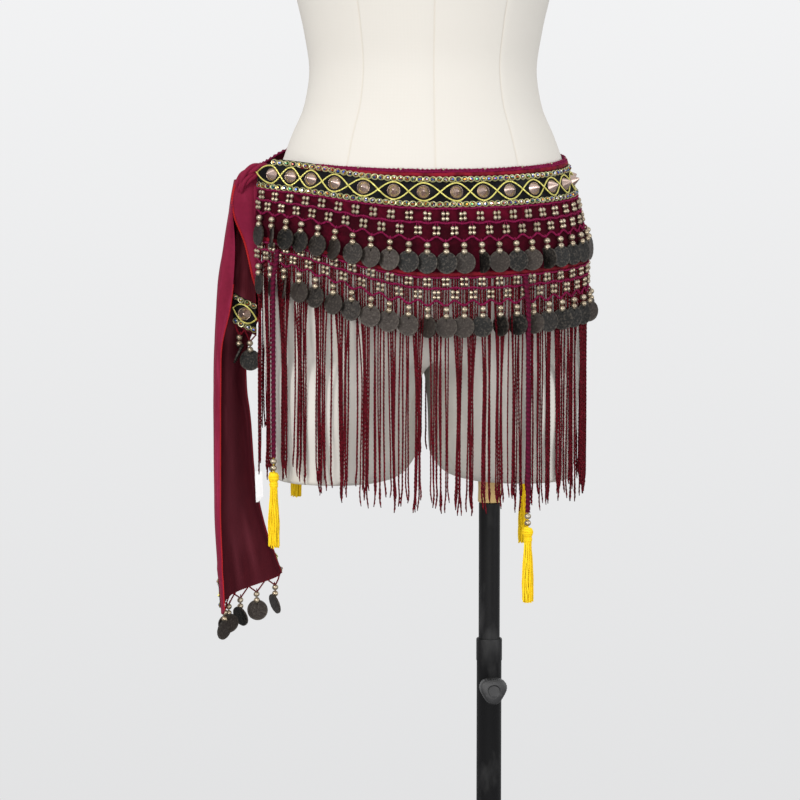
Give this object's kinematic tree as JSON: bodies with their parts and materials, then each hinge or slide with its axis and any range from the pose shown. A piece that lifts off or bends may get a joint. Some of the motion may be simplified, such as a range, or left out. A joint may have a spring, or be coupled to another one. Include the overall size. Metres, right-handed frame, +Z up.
{
  "type": "belly dance hip belt on a limbless dress form",
  "caption": "Velvet hip wrap with coin nets, thread fringe, corded tassels and a side knot, shown on a limbless dress form with a height-adjustable pole and a round base.",
  "frame": {"origin": "centre of the base's flat underside, on the pole's axis", "axes": "+Z up along the pole; -Y is the form's front; -X is the form's left hip, where the belt is tied"},
  "size_m": [0.4608, 0.34, 1.5003],
  "materials": {
    "stand_paint": "satin black enamel, lightly scuffed",
    "knob_plastic": "moulded black plastic",
    "turned_wood": "turned, oiled khaki-brown wood",
    "form_linen": "plain woven cream linen with panel seams",
    "belt_velvet": "wine-red velvet pile",
    "trim_ribbon": "black velvet ribbon with gold-green cord and chain",
    "coin_metal": "antiqued dark stamped metal and silver-coloured beads",
    "fringe_thread": "twisted wine thread",
    "crochet_cord": "magenta crochet cord",
    "tassel_thread": "yellow thread locks",
    "sash_cloth": "thin wine-red velvet with bright red overlocked edges",
    "label_tape": "plain white woven tape"
  },
  "bodies": {
    "stand": {"base_plate": "stand_paint", "outer_tube": "stand_paint"},
    "knob": {"clamp_knob": "knob_plastic"},
    "pole": {"inner_pole": "stand_paint"},
    "form": {"socket_plug": "turned_wood", "neck_cap": "turned_wood", "dress_form": "form_linen", "belt_cloth": "belt_velvet", "trim_band": "trim_ribbon", "coin_net_upper": "coin_metal", "coin_net_lower": "coin_metal", "thread_fringe": "fringe_thread", "braid_front_left": "crochet_cord", "braid_front_right": "crochet_cord", "braid_back_right": "crochet_cord", "braid_back_left": "crochet_cord", "tassel_front_left": "tassel_thread", "tassel_front_right": "tassel_thread", "tassel_back_right": "tassel_thread", "tassel_back_left": "tassel_thread", "knot": "sash_cloth", "sash_long": "sash_cloth", "sash_long_trim": "trim_ribbon", "sash_long_drops": "coin_metal", "sash_short": "sash_cloth", "sash_short_trim": "trim_ribbon", "sash_short_drops": "coin_metal", "care_label": "label_tape"}
  },
  "joints": [
    {"name": "knob_turn", "type": "hinge", "parent": "stand", "child": "knob", "pos_m": [0, -0.0188, 0.371], "axis": [0, -1, 0], "continuous": true},
    {"name": "pole_height", "type": "slide", "parent": "stand", "child": "pole", "axis": [0, 0, 1], "range_m": [-0.12, 0.12]},
    {"name": "form_turn", "type": "hinge", "parent": "pole", "child": "form", "pos_m": [0, 0, 0.567], "axis": [0, 0, 1], "continuous": true}
  ]
}
